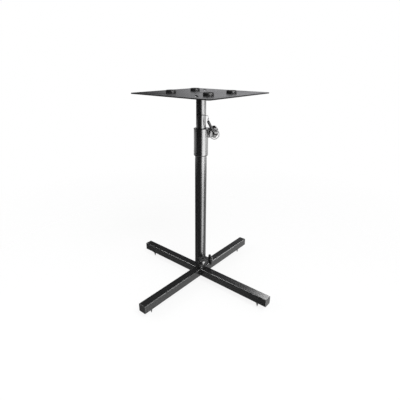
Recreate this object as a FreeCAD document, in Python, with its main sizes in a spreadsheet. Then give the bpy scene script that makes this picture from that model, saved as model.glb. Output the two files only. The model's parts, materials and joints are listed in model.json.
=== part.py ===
import FreeCAD, Part
import math
import os
import re
import Sketcher

# Studio monitor stand: a cross base on four spikes, a column with a clamp collar,
# a sliding mast, and a square top plate with rubber pads.
# Millimetres, +Z up. The origin is on the floor, under the middle of the column.

doc = FreeCAD.newDocument("MonitorStand")
sheet = doc.addObject("Spreadsheet::Sheet", "Sizes")

sizes = {
    # Cross base
    "leg_reach": 275,
    "beam_side": 27.5,
    "beam_wall": 1.5,
    "beam_corner": 2.5,
    "beam_floor": 22.5,
    "cap_head": 2,
    "cap_edge": 0.8,
    "cap_plug": 12,
    "cap_gap": 0.15,
    # Spikes and their threads
    "spike_inset": 36,
    "spike_length": 43,
    "spike_point": 14,
    "spike_tip": 0.8,
    "insert_radius": 5.5,
    "insert_depth": 13,
    "insert_flange": 1.2,
    "insert_flange_radius": 7.5,
    "lock_nut_height": 5,
    "thread_radius": 4,
    "thread_gap": 0.05,
    "nut_flats": 13,
    "nut_height": 6.5,
    "bolt_head": 5.3,
    "washer_radius": 8,
    "washer_thick": 1.6,
    # Spigot that the column stands over
    "spigot_height": 55,
    "spigot_floor": 15,
    "spigot_wall": 3,
    "bolt_entry": 13,
    # Column
    "column_radius": 18.5,
    "column_wall": 1.5,
    "column_length": 458,
    "column_turn": 50,
    "foot_right_rise": 24,
    "foot_front_rise": 38,
    "foot_boss_reach": 29,
    "foot_boss_root": 13,
    "foot_boss_end": 9,
    # Clamp collar
    "collar_radius": 22.6,
    "collar_length": 84,
    "collar_overlap": 49,
    "collar_chamfer": 3,
    "collar_edge": 1,
    "liner_wall": 1.5,
    "boss_side": 24,
    "boss_height": 28,
    "boss_corner": 4,
    "boss_reach": 33,
    "nut_seat": 20,
    "nut_gap": 0.1,
    "set_screw_radius": 2.5,
    "set_screw_rise": 14,
    "set_screw_socket": 1.25,
    "set_screw_depth": 2,
    # Hand knobs with their studs and shoes
    "knob_radius": 18.5,
    "knob_thick": 16,
    "knob_clear": 0.8,
    "knob_neck": 11,
    "knob_neck_length": 2,
    "knob_rim": 10,
    "knob_bevel": 2,
    "knob_crown": 11,
    "clamp_knob_thick": 20,
    "clamp_knob_rim": 11,
    "clamp_knob_crown": 13,
    "knob_bore_depth": 12,
    "knob_lobes": 6,
    "scallop_radius": 7,
    "scallop_depth": 3.5,
    "shoe_radius": 4.8,
    "shoe_thick": 2,
    "shoe_gap": 0.3,
    "shoe_travel": 2.5,
    "shoe_slack": 0.2,
    "stud_chamfer": 0.5,
    # Mast
    "mast_radius": 15,
    "mast_wall": 1.5,
    "mast_length": 404,
    "mast_out": 100,
    "slide_gap": 0.1,
    "fit_gap": 0.05,
    "pin_hole_rise": 320,
    "pin_hole_pitch": 50,
    "pin_hole_count": 6,
    "bush_height": 14,
    "turn_gap": 0.3,
    "stem_radius": 8,
    "foot_plug_length": 20,
    "retainer_radius": 13,
    "retainer_thick": 2,
    "plug_length": 25,
    "small_thread": 3,
    "small_head": 5,
    "small_head_height": 4,
    "small_entry": 14,
    # Top plate, flange and pads
    "plate_side": 290,
    "plate_thick": 3,
    "plate_corner": 6,
    "flange_radius": 40,
    "flange_thick": 4,
    "flange_circle": 28,
    "flange_thread": 2.5,
    "flange_head": 5,
    "centre_head": 5.6,
    "slot_along": 66,
    "slot_across": 98,
    "slot_run": 53,
    "slot_width": 7,
    "pad_radius": 15,
    "pad_height": 7,
    "pad_edge": 1.5,
    "pad_along": 70,
    "pad_across": 54,
    "pad_recess_radius": 5,
    "pad_recess_depth": 3,
    "pad_thread": 2,
    "pad_head": 4,
    "pad_head_height": 2.2,
    # Lock pin on its tether
    "anchor_angle": 130,
    "anchor_rise": 40,
    "anchor_width": 7,
    "anchor_height": 6,
    "anchor_reach": 20.5,
    "tether_radius": 0.7,
    "ferrule_radius": 2.2,
    "ferrule_length": 6,
    "ferrule_drop": 13.7,
    "tether_exit": 8,
    "tether_entry": 4.5,
    "tether_arc_share": 0.45,
    "pin_radius": 4,
    "pin_length": 34,
    "pin_lean": 27.5,
    "pin_along": 17.4,
    "pin_front": 25,
    "pin_gap": 0.3,
    "ring_radius": 14,
    "ring_wire": 1.2,
    "ring_eye": 2.2,
    "ring_inset": 5,
}

for row, (alias, value) in enumerate(sizes.items(), start=1):
    sheet.set(f"A{row}", alias)
    sheet.set(f"B{row}", str(value))
    sheet.setAlias(f"B{row}", alias)
doc.recompute()

nodes = []
upward = FreeCAD.Vector(0, 0, 1)
sideways = FreeCAD.Vector(0, 1, 0)


def size(name):
    return float(getattr(sheet, name))


def formula(text):
    def cell(word):
        return "Sizes." + word.group() if word.group() in sizes else word.group()
    return re.sub(r"[a-z][a-z_]*", cell, text)


def new_body(name):
    body = doc.addObject("PartDesign::Body", name)
    body.Label = name
    return body


def origin_feature(body, role):
    return next(item for item in body.Origin.OriginFeatures if item.Role == role)


def new_sketch(body, role, lift="0"):
    sketch = body.newObject("Sketcher::SketchObject", body.Name + "_outline")
    sketch.AttachmentSupport = [(origin_feature(body, role), "")]
    sketch.MapMode = "FlatFace"
    sketch.setExpression("AttachmentOffset.Base.z", formula(lift))
    return sketch


def pin_point(sketch, index, point, across, up, start=(1.0, 1.0)):
    for kind, text, value in (("DistanceX", across, start[0]), ("DistanceY", up, start[1])):
        rule = sketch.addConstraint(Sketcher.Constraint(kind, -1, 1, index, point, value))
        sketch.setExpression(f"Constraints[{rule}]", formula(text))


def draw_outline(sketch, corners):
    first = sketch.GeometryCount
    count = len(corners)
    # A plain ring of lines, which the constraints then pull into place
    ring = [FreeCAD.Vector(math.cos(2 * math.pi * i / count), math.sin(2 * math.pi * i / count), 0)
            for i in range(count)]
    for i in range(count):
        sketch.addGeometry(Part.LineSegment(ring[i], ring[(i + 1) % count]))
    for i, (across, up) in enumerate(corners):
        before = first + (i - 1) % count
        sketch.addConstraint(Sketcher.Constraint("Coincident", before, 2, first + i, 1))
        pin_point(sketch, first + i, 1, across, up)


def draw_box(sketch, low_across, low_up, high_across, high_up):
    draw_outline(sketch, [(low_across, low_up), (high_across, low_up),
                          (high_across, high_up), (low_across, high_up)])


def draw_circle(sketch, across, up, radius):
    index = sketch.addGeometry(Part.Circle(FreeCAD.Vector(), upward, 1.0))
    pin_point(sketch, index, 3, across, up)
    rule = sketch.addConstraint(Sketcher.Constraint("Radius", index, 1.0))
    sketch.setExpression(f"Constraints[{rule}]", formula(radius))


def draw_hexagon(sketch, flats):
    corner = f"{flats} / sqrt(3)"
    draw_outline(sketch, [(corner, "0"), (f"{corner} / 2", f"{flats} / 2"),
                          (f"-{corner} / 2", f"{flats} / 2"), (f"-{corner}", "0"),
                          (f"-{corner} / 2", f"-{flats} / 2"), (f"{corner} / 2", f"-{flats} / 2")])


def pad(body, sketch, length):
    feature = body.newObject("PartDesign::Pad", body.Name + "_pad")
    feature.Profile = sketch
    feature.setExpression("Length", formula(length))
    doc.recompute()
    return feature


def cut(body, sketch, depth):
    before = body.Shape.Volume
    feature = body.newObject("PartDesign::Pocket", body.Name + "_pocket")
    feature.Profile = sketch
    feature.setExpression("Length", formula(depth))
    doc.recompute()
    if body.Shape.Volume >= before:
        raise RuntimeError(f"a pocket of {body.Label} removes nothing")
    return feature


def revolve(body, sketch, axis):
    feature = body.newObject("PartDesign::Revolution", body.Name + "_turned")
    feature.Profile = sketch
    feature.ReferenceAxis = (sketch, [axis])
    feature.Angle = 360
    doc.recompute()
    return feature


def soften(body, kind, length, wanted):
    tip = body.Tip
    names = [f"Edge{i}" for i, edge in enumerate(tip.Shape.Edges, start=1) if wanted(edge)]
    feature = body.newObject("PartDesign::" + kind, f"{body.Name}_{kind.lower()}")
    feature.Base = (tip, names)
    feature.setExpression("Radius" if kind == "Fillet" else "Size", formula(length))
    doc.recompute()
    return feature


def is_along(axis, shortest):
    def wanted(edge):
        if len(edge.Vertexes) != 2 or edge.Length < shortest:
            return False
        run = edge.Vertexes[1].Point - edge.Vertexes[0].Point
        return abs(abs(run.normalize().dot(axis)) - 1) < 1e-6
    return wanted


def turned(name, corners, height=0.0):
    # A turned piece about +Z: corners are (radius, height) formulas
    body = new_body(name)
    sketch = new_sketch(body, "XZ_Plane")
    draw_outline(sketch, corners)
    revolve(body, sketch, "V_Axis")
    body.Placement.Base = upward * height
    return body


def turned_across(name, corners, height, turn):
    # A turned piece that points away from the column: corners are (reach, radius) formulas
    body = new_body(name)
    sketch = new_sketch(body, "XZ_Plane")
    draw_outline(sketch, corners)
    revolve(body, sketch, "H_Axis")
    body.Placement = FreeCAD.Placement(upward * height, FreeCAD.Rotation(upward, turn))
    return body


def node(piece):
    nodes.append(piece)
    return piece


def group(name, pieces):
    together = doc.addObject("Part::Compound", name)
    together.Label = name
    together.Links = pieces
    return node(together)


def face_turn(piece, turn):
    piece.Placement.Rotation = FreeCAD.Rotation(upward, turn)
    return piece


# Heights and turns that several pieces share
beam_top = size("beam_floor") + size("beam_side")
column_top = beam_top + size("column_length")
collar_bottom = column_top - size("collar_overlap")
collar_top = collar_bottom + size("collar_length")
clamp_height = collar_top - size("boss_side") / 2
mast_top = collar_top + size("mast_out")
mast_bottom = mast_top - size("mast_length")
plate_top = mast_top + size("plate_thick")
column_turn = size("column_turn")
leg_turns = {"front_right": 0, "back_right": 90, "back_left": 180, "front_left": 270}

# Sizes that several pieces share, as formulas
column_bore = "(column_radius - column_wall)"
spigot_radius = "(column_radius - column_wall - slide_gap)"
mast_bore = "(mast_radius - mast_wall)"
liner_bore = "(mast_radius + slide_gap)"
liner_radius = "(mast_radius + slide_gap + liner_wall)"
thread_hole = "(thread_radius + thread_gap)"
shoe_hole = "(shoe_radius + shoe_slack)"
beam_inside = "(beam_side / 2 - beam_wall)"
beam_end = "(leg_reach - cap_head)"
spike_reach = "(leg_reach - spike_inset)"
stem_length = "(bush_height + 2 * turn_gap)"


# Beams of the cross base
def beam(name, start, turn):
    body = new_body(name)
    section = new_sketch(body, "YZ_Plane", start)
    draw_box(section, "-beam_side / 2", "0", "beam_side / 2", "beam_side")
    draw_box(section, f"-{beam_inside}", "beam_wall", beam_inside, "beam_side - beam_wall")
    pad(body, section, f"{beam_end} - ({start})")
    outer = size("beam_side") / 2

    def on_corner(edge):
        middle = edge.CenterOfMass
        return is_along(FreeCAD.Vector(1, 0, 0), outer)(edge) and abs(abs(middle.y) - outer) < 1e-6

    soften(body, "Fillet", "beam_corner", on_corner)
    holes = new_sketch(body, "XY_Plane", "2 * beam_wall")
    draw_circle(holes, spike_reach, "0", "insert_radius + fit_gap")
    if name == "base_beam_long":
        draw_circle(holes, f"-{spike_reach}", "0", "insert_radius + fit_gap")
    cut(body, holes, "3 * beam_wall")
    body.Placement = FreeCAD.Placement(upward * size("beam_floor"), FreeCAD.Rotation(upward, turn))
    return body


long_beam = beam("base_beam_long", f"-{beam_end}", 0)
bolt_hole = new_sketch(long_beam, "XY_Plane", "2 * beam_side")
draw_circle(bolt_hole, "0", "0", "thread_radius + slide_gap")
cut(long_beam, bolt_hole, "3 * beam_side")
node(long_beam)
node(beam("base_beam_left", "beam_side / 2", -90))
node(beam("base_beam_right", "beam_side / 2", 90))


# Plastic caps in the beam ends
def end_cap(name, turn):
    body = new_body(name)
    plug = new_sketch(body, "YZ_Plane", f"{beam_end} - cap_plug")
    low = f"-({beam_inside} - cap_gap)"
    high = f"({beam_inside} - cap_gap)"
    draw_box(plug, low, low, high, high)
    pad(body, plug, "cap_plug")
    head = new_sketch(body, "YZ_Plane", beam_end)
    draw_box(head, "-beam_side / 2", "-beam_side / 2", "beam_side / 2", "beam_side / 2")
    pad(body, head, "cap_head")
    tube_end = size("leg_reach") - size("cap_head")

    def on_head_corner(edge):
        return is_along(FreeCAD.Vector(1, 0, 0), 0)(edge) and edge.CenterOfMass.x > tube_end

    soften(body, "Fillet", "beam_corner", on_head_corner)

    def on_front(edge):
        return edge.BoundBox.XMin > size("leg_reach") - 1e-6

    soften(body, "Fillet", "cap_edge", on_front)
    body.Placement.Base = upward * (size("beam_floor") + size("beam_side") / 2)
    return face_turn(body, turn)


group("leg_end_caps", [end_cap("cap_" + leg, turn) for leg, turn in leg_turns.items()])


# Threaded inserts, lock nuts and spikes under the beam ends
def at_leg(body, height, turn):
    reach = size("leg_reach") - size("spike_inset")
    place = FreeCAD.Rotation(upward, turn).multVec(FreeCAD.Vector(reach, 0, height))
    body.Placement = FreeCAD.Placement(place, FreeCAD.Rotation(upward, turn))
    return body


def spike_insert(name, turn):
    body = turned(name, [
        (thread_hole, "-insert_flange"), ("insert_flange_radius", "-insert_flange"),
        ("insert_flange_radius", "0"), ("insert_radius", "0"),
        ("insert_radius", "insert_depth"), (thread_hole, "insert_depth")])
    return at_leg(body, size("beam_floor"), turn)


def lock_nut(name, turn):
    body = new_body(name)
    sketch = new_sketch(body, "XY_Plane")
    draw_hexagon(sketch, "nut_flats")
    draw_circle(sketch, "0", "0", thread_hole)
    pad(body, sketch, "lock_nut_height")
    height = size("beam_floor") - size("insert_flange") - size("lock_nut_height")
    return at_leg(body, height, turn)


def spike(name, turn):
    body = turned(name, [
        ("0", "0"), ("spike_tip", "0"), ("thread_radius", "spike_point"),
        ("thread_radius", "spike_length"), ("0", "spike_length")])
    return at_leg(body, 0, turn)


group("spike_inserts", [spike_insert("insert_" + leg, turn) for leg, turn in leg_turns.items()])
group("spike_lock_nuts", [lock_nut("nut_" + leg, turn) for leg, turn in leg_turns.items()])
for leg, turn in leg_turns.items():
    node(spike("spike_" + leg, turn))

# Spigot with its bolt and washer
node(turned("spigot", [
    (thread_hole, "0"), (spigot_radius, "0"), (spigot_radius, "spigot_height"),
    (f"{spigot_radius} - spigot_wall", "spigot_height"),
    (f"{spigot_radius} - spigot_wall", "spigot_floor"), (thread_hole, "spigot_floor")], beam_top))
node(turned("spigot_washer", [
    ("thread_radius + slide_gap", "-washer_thick"), ("washer_radius", "-washer_thick"),
    ("washer_radius", "0"), ("thread_radius + slide_gap", "0")], size("beam_floor")))
spigot_bolt = new_body("spigot_bolt")
head = new_sketch(spigot_bolt, "XY_Plane", "-washer_thick - bolt_head")
draw_hexagon(head, "nut_flats")
pad(spigot_bolt, head, "bolt_head")
shank = new_sketch(spigot_bolt, "XY_Plane", "-washer_thick")
draw_circle(shank, "0", "0", "thread_radius")
pad(spigot_bolt, shank, "washer_thick + beam_side + bolt_entry")
spigot_bolt.Placement.Base = upward * size("beam_floor")
node(spigot_bolt)

# Column tube with the openings for the two foot shoes
column = turned("column_tube", [
    (column_bore, "0"), ("column_radius", "0"),
    ("column_radius", "column_length"), (column_bore, "column_length")], beam_top)
for plane, rise in (("YZ_Plane", "foot_right_rise"), ("XZ_Plane", "foot_front_rise")):
    shoe_opening = new_sketch(column, plane, "2 * column_radius")
    draw_circle(shoe_opening, "0", rise, shoe_hole)
    cut(column, shoe_opening, "2 * column_radius")
node(face_turn(column, column_turn))


# Hand screws: a shoe, a stud and a lobed knob on one axis that points away from the column
def hand_screw(prefix, seat, boss_end, height, turn, shape="knob"):
    shoe_start = f"({seat} + shoe_gap)"
    stud_start = f"({seat} + shoe_gap + shoe_thick)"
    knob_start = f"({boss_end} + knob_clear)"
    rim_start = f"({knob_start} + knob_neck_length)"
    rim_end = f"({rim_start} + {shape}_rim)"
    knob_end = f"({knob_start} + {shape}_thick)"
    bore_end = f"({knob_start} + knob_bore_depth)"
    node(turned_across(prefix + "_shoe", [
        (shoe_start, "0"), (shoe_start, "shoe_radius"),
        (stud_start, "shoe_radius"), (stud_start, "0")], height, turn))
    node(turned_across(prefix + "_stud", [
        (stud_start, "0"), (stud_start, "thread_radius - stud_chamfer"),
        (f"{stud_start} + stud_chamfer", "thread_radius"),
        (bore_end, "thread_radius"), (bore_end, "0")], height, turn))
    knob = turned_across(prefix + "_knob", [
        (knob_start, "thread_radius + fit_gap"), (knob_start, "knob_neck"), (rim_start, "knob_neck"),
        (rim_start, "knob_radius - knob_bevel"), (f"{rim_start} + knob_bevel", "knob_radius"),
        (f"{rim_end} - knob_bevel", "knob_radius"), (rim_end, "knob_radius - knob_bevel"),
        (rim_end, f"{shape}_crown"), (f"{knob_end} - knob_bevel", f"{shape}_crown - knob_bevel / 2"),
        (knob_end, f"{shape}_crown - 2 * knob_bevel"), (knob_end, "0"),
        (f"{bore_end} + fit_gap", "0"),
        (f"{bore_end} + fit_gap", "thread_radius + fit_gap")], height, turn)
    scallop = new_sketch(knob, "YZ_Plane", knob_end)
    draw_circle(scallop, "0", "knob_radius - scallop_depth + scallop_radius", "scallop_radius")
    first = cut(knob, scallop, f"{shape}_thick")
    lobes = knob.newObject("PartDesign::PolarPattern", prefix + "_lobes")
    lobes.Originals = [first]
    lobes.Axis = (origin_feature(knob, "X_Axis"), [""])
    lobes.Angle = 360
    lobes.setExpression("Occurrences", formula("knob_lobes"))
    knob.Tip = lobes
    doc.recompute()
    node(knob)


# Welded bosses and hand screws at the foot of the column
def foot_boss(name, height, turn):
    body = turned_across(name, [
        (column_bore, thread_hole), (column_bore, "foot_boss_root"),
        ("column_radius + shoe_travel", "foot_boss_root"),
        ("foot_boss_reach", "foot_boss_end"), ("foot_boss_reach", thread_hole)], height, turn)
    # Saddle that fits the tube, and room for the shoe to draw back
    saddle = new_sketch(body, "XY_Plane", "foot_boss_root")
    draw_circle(saddle, "0", "0", "column_radius + fit_gap")
    cut(body, saddle, "2 * foot_boss_root")
    shoe_end = f"{spigot_radius} + shoe_gap + shoe_thick + shoe_travel"
    recess = new_sketch(body, "YZ_Plane", f"{shoe_end} + shoe_gap")
    draw_circle(recess, "0", "0", shoe_hole)
    cut(body, recess, "column_radius")
    return node(body)


foot_turns = {"right": column_turn, "front": column_turn - 90}
for side, turn in foot_turns.items():
    foot_height = beam_top + size(f"foot_{side}_rise")
    foot_boss(f"foot_boss_{side}", foot_height, turn)
    hand_screw(f"foot_{side}", spigot_radius, "foot_boss_reach", foot_height, turn)

# Clamp collar on the column's top: boss first, then the sleeve, then the bores
collar = new_body("clamp_collar")
boss = new_sketch(collar, "YZ_Plane")
draw_box(boss, "-boss_side / 2", "collar_length - boss_height", "boss_side / 2", "collar_length")
pad(collar, boss, "boss_reach")
soften(collar, "Fillet", "boss_corner", is_along(FreeCAD.Vector(1, 0, 0), size("boss_corner")))
sleeve = new_sketch(collar, "XZ_Plane")
draw_outline(sleeve, [
    ("0", "0"), ("collar_radius - collar_chamfer / 2", "0"), ("collar_radius", "collar_chamfer"),
    ("collar_radius", "collar_length - collar_edge"), ("collar_radius - collar_edge", "collar_length"),
    ("0", "collar_length")])
revolve(collar, sleeve, "V_Axis")
lower_bore = new_sketch(collar, "XY_Plane", "collar_overlap")
draw_circle(lower_bore, "0", "0", "column_radius + fit_gap")
cut(collar, lower_bore, "collar_overlap")
upper_bore = new_sketch(collar, "XY_Plane", "collar_length")
draw_circle(upper_bore, "0", "0", f"{liner_radius} + fit_gap")
cut(collar, upper_bore, "collar_length - collar_overlap")
clamp_rise = "(collar_length - boss_side / 2)"
stud_way = new_sketch(collar, "YZ_Plane", "boss_reach")
draw_circle(stud_way, "0", clamp_rise, "thread_radius + slide_gap")
cut(collar, stud_way, "boss_reach")
shoe_way = new_sketch(collar, "YZ_Plane", "nut_seat")
draw_circle(shoe_way, "0", clamp_rise, shoe_hole)
cut(collar, shoe_way, "nut_seat")
# Slot in the boss's front side that holds the nut
nut_slot = new_sketch(collar, "YZ_Plane", "nut_seat + nut_height + 2 * nut_gap")
draw_box(nut_slot, "-boss_side", f"{clamp_rise} - nut_flats / 2 - nut_gap",
         "nut_flats / sqrt(3) + nut_gap", f"{clamp_rise} + nut_flats / 2 + nut_gap")
cut(collar, nut_slot, "nut_height + 2 * nut_gap")
set_screw_way = new_sketch(collar, "YZ_Plane")
draw_circle(set_screw_way, "0", "set_screw_rise", "set_screw_radius")
cut(collar, set_screw_way, "2 * collar_radius")
collar.Placement.Base = upward * collar_bottom
node(face_turn(collar, column_turn))

# Pieces inside the collar
liner_length = "(collar_length - collar_overlap)"
liner = turned("collar_liner", [
    (liner_bore, "0"), (liner_radius, "0"),
    (liner_radius, liner_length), (liner_bore, liner_length)], column_top)
liner_opening = new_sketch(liner, "YZ_Plane", "2 * mast_radius")
draw_circle(liner_opening, "0", f"{liner_length} - boss_side / 2", shoe_hole)
cut(liner, liner_opening, "2 * mast_radius")
node(face_turn(liner, column_turn))
clamp_nut = new_body("clamp_nut")
hexagon = new_sketch(clamp_nut, "YZ_Plane", "nut_seat + nut_gap")
draw_hexagon(hexagon, "nut_flats")
draw_circle(hexagon, "0", "0", thread_hole)
pad(clamp_nut, hexagon, "nut_height")
clamp_nut.Placement.Base = upward * clamp_height
node(face_turn(clamp_nut, column_turn))
node(turned_across("collar_set_screw", [
    ("column_radius", "0"), ("column_radius", "set_screw_radius - fit_gap"),
    ("collar_radius - fit_gap", "set_screw_radius - fit_gap"),
    ("collar_radius - fit_gap", "set_screw_socket"),
    ("collar_radius - set_screw_depth", "set_screw_socket"), ("collar_radius - set_screw_depth", "0")],
    collar_bottom + size("set_screw_rise"), column_turn + 180))
hand_screw("clamp", "mast_radius", "boss_reach", clamp_height, column_turn, "clamp_knob")

# Mast with its row of holes for the lock pin
mast = turned("mast_tube", [
    (mast_bore, "0"), ("mast_radius", "0"),
    ("mast_radius", "mast_length"), (mast_bore, "mast_length")], mast_bottom)
pin_hole = new_sketch(mast, "YZ_Plane", "2 * mast_radius")
draw_circle(pin_hole, "0", "pin_hole_rise", "pin_radius + shoe_slack")
top_hole = cut(mast, pin_hole, "4 * mast_radius")
hole_row = mast.newObject("PartDesign::LinearPattern", "pin_holes")
hole_row.Originals = [top_hole]
hole_row.Direction = (origin_feature(mast, "Z_Axis"), [""])
hole_row.Reversed = True
hole_row.Mode = "Spacing"
hole_row.setExpression("Offset", formula("pin_hole_pitch"))
hole_row.setExpression("Occurrences", formula("pin_hole_count"))
mast.Tip = hole_row
doc.recompute()
node(face_turn(mast, column_turn))

# Guide bush under the mast, held by a plug, a washer and a screw
node(turned("mast_foot_plug", [
    ("small_thread", f"-{stem_length}"), ("stem_radius", f"-{stem_length}"), ("stem_radius", "0"),
    (f"{mast_bore} - fit_gap", "0"), (f"{mast_bore} - fit_gap", "foot_plug_length"),
    ("small_thread", "foot_plug_length")], mast_bottom))
node(turned("guide_bush", [
    ("stem_radius + slide_gap", "-turn_gap - bush_height"), (spigot_radius, "-turn_gap - bush_height"),
    (spigot_radius, "-turn_gap"), ("stem_radius + slide_gap", "-turn_gap")], mast_bottom))
retainer_bottom = f"-{stem_length} - retainer_thick"
node(turned("retainer_washer", [
    ("small_thread + fit_gap", retainer_bottom), ("retainer_radius", retainer_bottom),
    ("retainer_radius", f"-{stem_length}"), ("small_thread + fit_gap", f"-{stem_length}")], mast_bottom))
node(turned("retainer_screw", [
    ("0", f"{retainer_bottom} - small_head_height"),
    ("small_head", f"{retainer_bottom} - small_head_height"),
    ("small_head", retainer_bottom), ("small_thread - fit_gap", retainer_bottom),
    ("small_thread - fit_gap", f"small_entry - {stem_length}"),
    ("0", f"small_entry - {stem_length}")], mast_bottom))

# Plug and flange at the mast's top
node(turned("mast_plug", [
    ("small_thread", "-plug_length"), (f"{mast_bore} - fit_gap", "-plug_length"),
    (f"{mast_bore} - fit_gap", "0"), ("small_thread", "0")], mast_top))
flange_spots = [("flange_circle", "0"), ("0", "flange_circle"),
                ("-flange_circle", "0"), ("0", "-flange_circle")]
flange = new_body("plate_flange")
disc = new_sketch(flange, "XY_Plane", "-flange_thick")
draw_circle(disc, "0", "0", "flange_radius")
draw_circle(disc, "0", "0", "mast_radius + fit_gap")
for across, up in flange_spots:
    draw_circle(disc, across, up, "flange_thread")
pad(flange, disc, "flange_thick")
flange.Placement.Base = upward * mast_top
node(flange)


# Countersunk screws, and the plate that they hold
def countersunk(name, head_radius, shank_radius, length, across, up):
    body = turned(name, [
        ("0", "0"), (f"{head_radius} - fit_gap", "0"),
        (f"{shank_radius} - fit_gap", f"-({head_radius} - {shank_radius})"),
        (f"{shank_radius} - fit_gap", f"-({length})"), ("0", f"-({length})")])
    body.Placement.Base = FreeCAD.Vector(across, up, plate_top)
    return body


node(countersunk("plate_screw", "centre_head", "small_thread", "plate_thick + small_entry", 0, 0))
circle = size("flange_circle")
group("flange_screws", [
    countersunk(f"flange_screw_{i}", "flange_head", "flange_thread", "plate_thick + flange_thick",
                circle * math.cos(math.pi / 2 * i), circle * math.sin(math.pi / 2 * i)) for i in range(4)])


def draw_slot(sketch, across, up, run_across, run_up):
    # A long hole with round ends, on the line between its two end centres
    middle = FreeCAD.Vector(size("slot_along") * across, size("slot_across") * up, 0)
    half_run = FreeCAD.Vector(run_across, run_up, 0) * (size("slot_run") / math.sqrt(8))
    centres = [middle - half_run, middle + half_run]
    heading = math.atan2(run_up, run_across)
    radius = size("slot_width") / 2
    side = FreeCAD.Vector(-math.sin(heading), math.cos(heading), 0) * radius
    first = sketch.GeometryCount
    sketch.addGeometry(Part.LineSegment(centres[0] - side, centres[1] - side))
    sketch.addGeometry(Part.ArcOfCircle(Part.Circle(centres[1], upward, radius),
                                        heading - math.pi / 2, heading + math.pi / 2))
    sketch.addGeometry(Part.LineSegment(centres[1] + side, centres[0] + side))
    sketch.addGeometry(Part.ArcOfCircle(Part.Circle(centres[0], upward, radius),
                                        heading + math.pi / 2, heading + math.pi * 3 / 2))
    for i in range(4):
        sketch.addConstraint(Sketcher.Constraint("Tangent", first + i, 2, first + (i + 1) % 4, 1))
    # The end centres start where they belong, so that no tangent can flip
    for i, way, centre in ((1, 1, centres[1]), (3, -1, centres[0])):
        pin_point(sketch, first + i, 3,
                  f"slot_along * {across} + {way * run_across} * slot_run / sqrt(8)",
                  f"slot_across * {up} + {way * run_up} * slot_run / sqrt(8)", (centre.x, centre.y))
    sketch.addConstraint(Sketcher.Constraint("Equal", first + 1, first + 3))
    rule = sketch.addConstraint(Sketcher.Constraint("Radius", first + 1, radius))
    sketch.setExpression(f"Constraints[{rule}]", formula("slot_width / 2"))


plate = new_body("top_plate")
square = new_sketch(plate, "XY_Plane", "-plate_thick")
draw_box(square, "-plate_side / 2", "-plate_side / 2", "plate_side / 2", "plate_side / 2")
pad(plate, square, "plate_thick")
soften(plate, "Fillet", "plate_corner", is_along(upward, 0))
slots = new_sketch(plate, "XY_Plane")
for across in (-1, 1):
    for up in (-1, 1):
        draw_slot(slots, across, up, across, up)
cut(plate, slots, "plate_thick")
screw_holes = new_sketch(plate, "XY_Plane")
draw_circle(screw_holes, "0", "0", "small_thread")
for across, up in flange_spots:
    draw_circle(screw_holes, across, up, "flange_thread")
pad_spots = [(across, up) for across in (-1, 1) for up in (-1, 1)]
for across, up in pad_spots:
    draw_circle(screw_holes, f"{across} * pad_along", f"{up} * pad_across", "pad_thread")
cut(plate, screw_holes, "plate_thick")


def is_sink(nearest, furthest):
    # Rims of the plate's top whose centres lie between two distances from its middle
    def wanted(edge):
        if not isinstance(edge.Curve, Part.Circle) or edge.BoundBox.ZMin < -1e-6:
            return False
        return nearest <= math.hypot(edge.Curve.Center.x, edge.Curve.Center.y) < furthest
    return wanted


soften(plate, "Chamfer", "centre_head - small_thread", is_sink(0, circle / 2))
soften(plate, "Chamfer", "flange_head - flange_thread", is_sink(circle / 2, size("flange_radius")))
plate.Placement.Base = upward * plate_top
node(plate)


# Rubber pads on the plate and the screws that hold them
def pad_place(across, up):
    return FreeCAD.Vector(across * size("pad_along"), up * size("pad_across"), plate_top)


pad_names = {(-1, -1): "left", (1, -1): "front", (1, 1): "right", (-1, 1): "back"}
pad_screws = []
for spot in pad_spots:
    cushion = turned("pad_" + pad_names[spot], [
        ("pad_thread + fit_gap", "0"), ("pad_radius", "0"), ("pad_radius", "pad_height - pad_edge"),
        ("pad_radius - pad_edge", "pad_height"), ("pad_recess_radius", "pad_height"),
        ("pad_recess_radius", "pad_height - pad_recess_depth"),
        ("pad_thread + fit_gap", "pad_height - pad_recess_depth")])
    cushion.Placement.Base = pad_place(*spot)
    node(cushion)
    screw = turned("pad_screw_" + pad_names[spot], [
        ("0", "-plate_thick"), ("pad_thread - fit_gap", "-plate_thick"),
        ("pad_thread - fit_gap", "pad_height - pad_recess_depth"),
        ("pad_head", "pad_height - pad_recess_depth"),
        ("pad_head", "pad_height - pad_recess_depth + pad_head_height"),
        ("0", "pad_height - pad_recess_depth + pad_head_height")])
    screw.Placement.Base = pad_place(*spot)
    pad_screws.append(screw)
group("pad_screws", pad_screws)

# Anchor of the tether on the mast
anchor_turn = column_turn - size("anchor_angle")
anchor_height = collar_top + size("anchor_rise")
anchor = new_body("tether_anchor")
block = new_sketch(anchor, "XY_Plane", "-anchor_height / 2")
draw_box(block, "0", "-anchor_width / 2", "anchor_reach", "anchor_width / 2")
pad(anchor, block, "anchor_height")
hollow = new_sketch(anchor, "XY_Plane", "anchor_height / 2")
draw_circle(hollow, "0", "0", "mast_radius + fit_gap")
cut(anchor, hollow, "anchor_height")
anchor.Placement.Base = upward * anchor_height
node(face_turn(anchor, anchor_turn))

# Lock pin: a ball top about which it swings, and an eye for the pull ring
turned_with_column = FreeCAD.Rotation(upward, column_turn)
along = turned_with_column.multVec(FreeCAD.Vector(1, 0, 0))
front = turned_with_column.multVec(FreeCAD.Vector(0, -1, 0))
ferrule_bottom = anchor_height - size("ferrule_drop")
ferrule_top = ferrule_bottom + size("ferrule_length")
pin_spot = along * size("pin_along") + front * size("pin_front")
swing_point = pin_spot + upward * (ferrule_bottom - size("pin_gap") - size("pin_radius"))
lean = turned_with_column.multiply(FreeCAD.Rotation(sideways, -size("pin_lean")))
hanging = FreeCAD.Placement(swing_point, lean)
eye_depth = size("pin_length") - size("ring_inset")

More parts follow.
